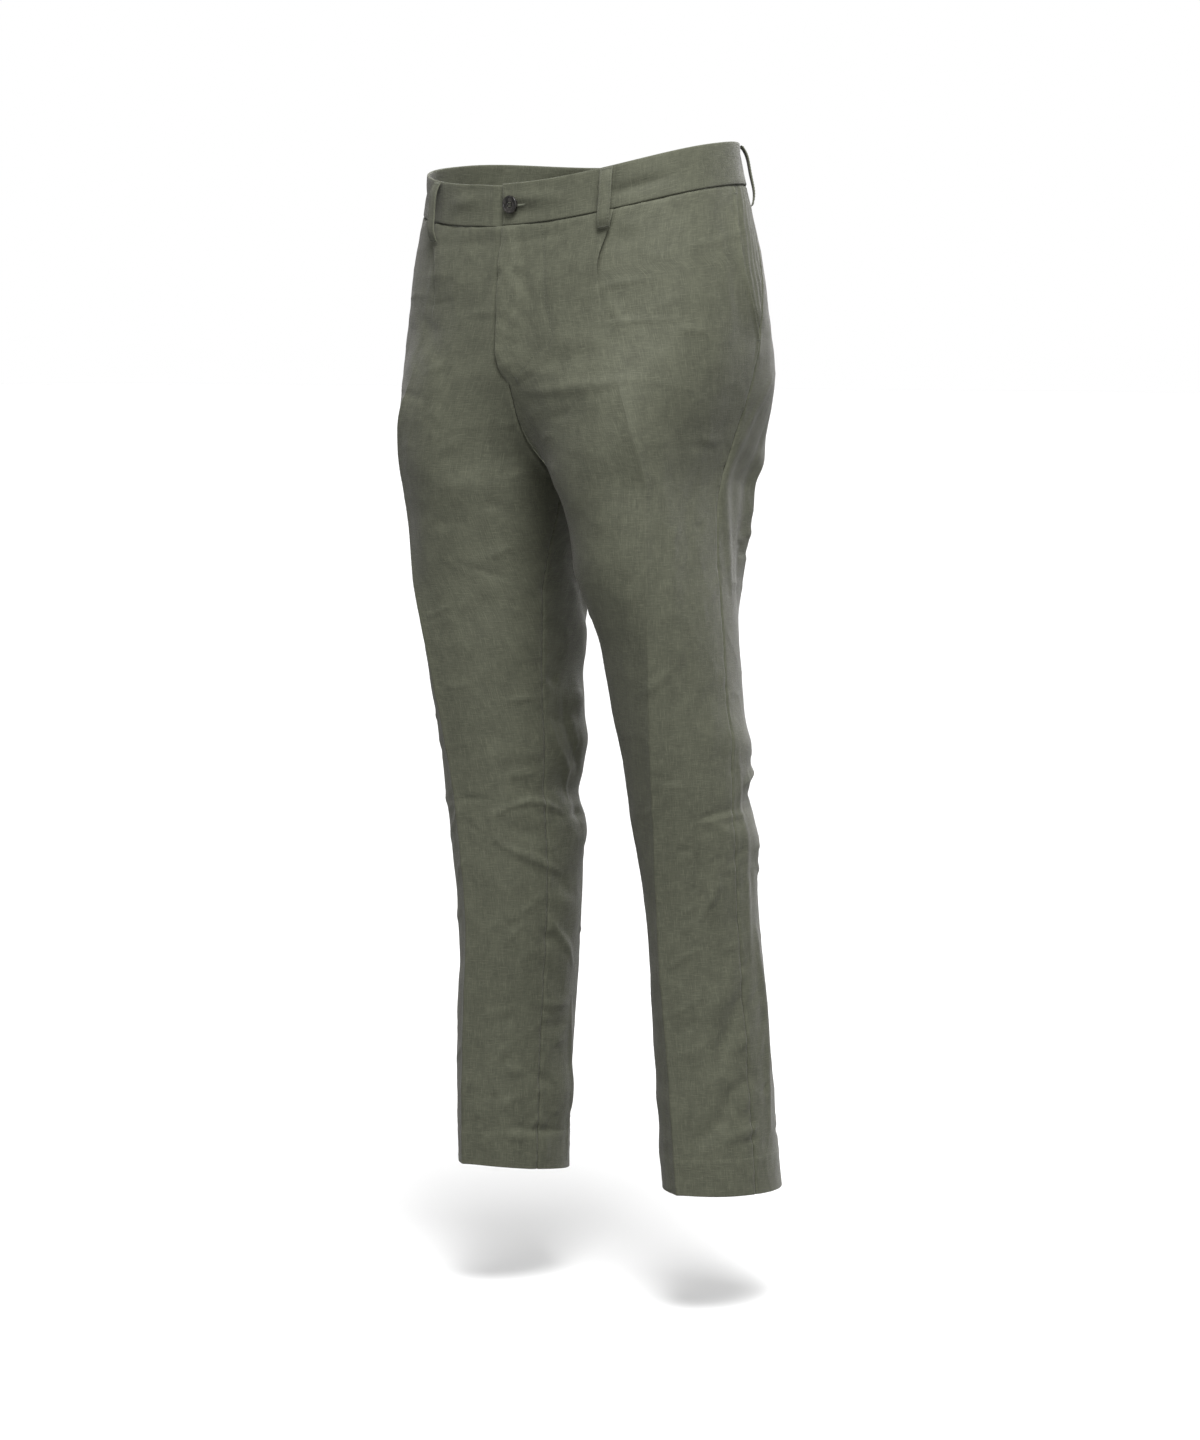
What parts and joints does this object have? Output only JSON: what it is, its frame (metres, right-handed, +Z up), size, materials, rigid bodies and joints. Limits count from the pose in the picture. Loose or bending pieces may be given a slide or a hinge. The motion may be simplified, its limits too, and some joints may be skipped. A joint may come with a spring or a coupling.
{
  "type": "pleated linen trousers",
  "caption": "Hollow worn linen trousers with a pleated, creased front, slanted side pockets, a looped waistband and a button closure.",
  "frame": {"origin": "the middle of the waist, level with the middle of the waistband's height at the body's centre, where the wearer holds the garment up", "axes": "+Z up, the front faces -Y, the wearer's left is +X"},
  "size_m": [0.3602, 0.2571, 0.9853],
  "materials": {
    "linen": "matt plain-weave linen, grey olive",
    "linen_folded": "matt plain-weave linen, grey olive, folded",
    "horn": "dark mottled horn, satin"
  },
  "bodies": {
    "root": {"front_left": "linen", "front_right": "linen", "back_left": "linen", "back_right": "linen", "waistband_left": "linen", "waistband_right": "linen", "pocket_facing_left": "linen_folded", "pocket_facing_right": "linen_folded", "belt_loop_front_left": "linen_folded", "belt_loop_front_right": "linen_folded", "belt_loop_side_left": "linen_folded", "belt_loop_side_right": "linen_folded", "belt_loop_back": "linen_folded", "waist_button": "horn"}
  },
  "joints": []
}
